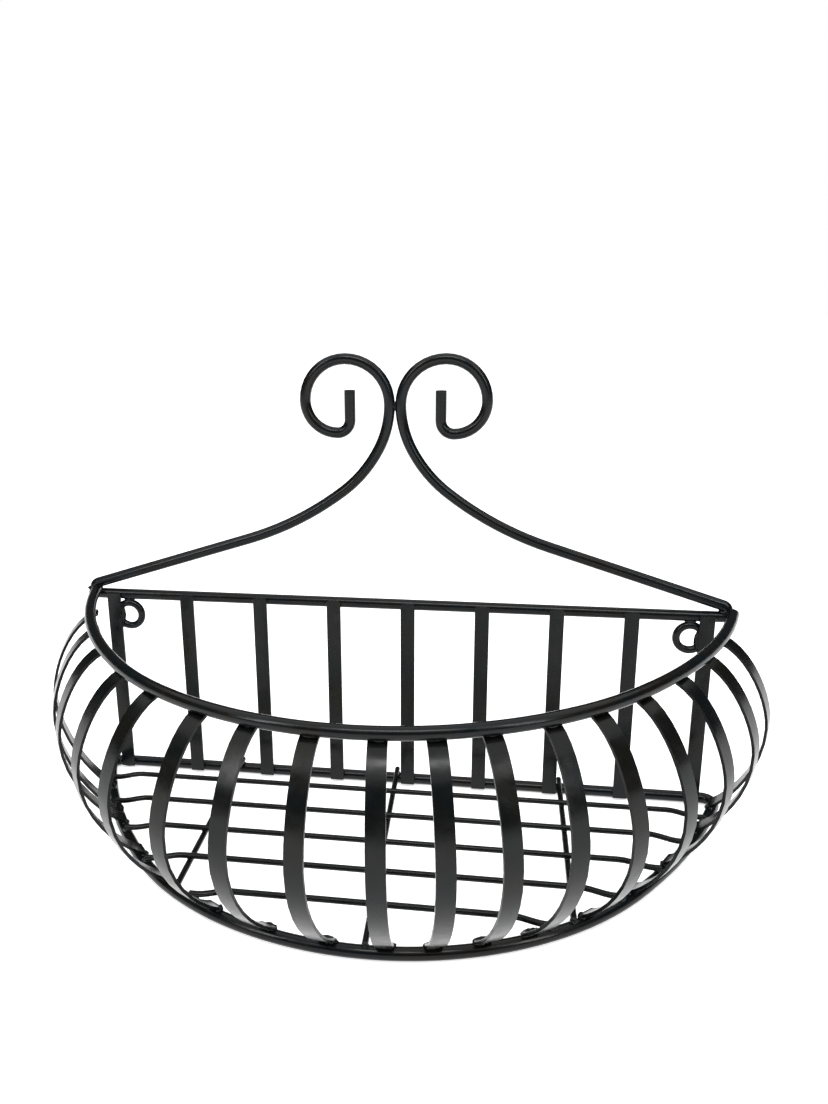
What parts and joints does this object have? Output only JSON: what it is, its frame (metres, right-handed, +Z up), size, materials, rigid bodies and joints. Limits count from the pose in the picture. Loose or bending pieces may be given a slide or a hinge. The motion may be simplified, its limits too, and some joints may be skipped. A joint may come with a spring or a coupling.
{
  "type": "hanging basket",
  "caption": "Half-round wall hanging basket in black painted steel, with bowed ribs, a wire floor, a flat barred back, hanging eyes and a curled scroll top.",
  "frame": {"origin": "middle of the underside of the whole basket's box", "axes": "+X to the basket's right seen from the front, +Y towards the wall, +Z up"},
  "size_m": [0.3882, 0.19, 0.2519],
  "materials": {
    "painted_rod": "black satin paint on round steel rod",
    "painted_strip": "black satin paint on flat steel strip",
    "painted_wire": "black satin paint on steel wire"
  },
  "bodies": {
    "root": {"top_rail": "painted_rod", "rim_hoop": "painted_rod", "base_frame": "painted_rod", "scroll_left": "painted_rod", "scroll_right": "painted_rod", "eye_left": "painted_rod", "eye_right": "painted_rod", "back_bar_1": "painted_strip", "back_bar_2": "painted_strip", "back_bar_3": "painted_strip", "back_bar_4": "painted_strip", "back_bar_5": "painted_strip", "back_bar_6": "painted_strip", "back_bar_7": "painted_strip", "back_bar_8": "painted_strip", "back_bar_9": "painted_strip", "rib_01": "painted_strip", "rib_02": "painted_strip", "rib_03": "painted_strip", "rib_04": "painted_strip", "rib_05": "painted_strip", "rib_06": "painted_strip", "rib_07": "painted_strip", "rib_08": "painted_strip", "rib_09": "painted_strip", "rib_10": "painted_strip", "rib_11": "painted_strip", "rib_12": "painted_strip", "rib_13": "painted_strip", "rib_14": "painted_strip", "rib_15": "painted_strip", "rib_16": "painted_strip", "rib_17": "painted_strip", "cross_wire_1": "painted_wire", "cross_wire_2": "painted_wire", "cross_wire_3": "painted_wire", "floor_wire_1": "painted_wire", "floor_wire_2": "painted_wire", "floor_wire_3": "painted_wire", "floor_wire_4": "painted_wire", "floor_wire_5": "painted_wire"}
  },
  "joints": []
}
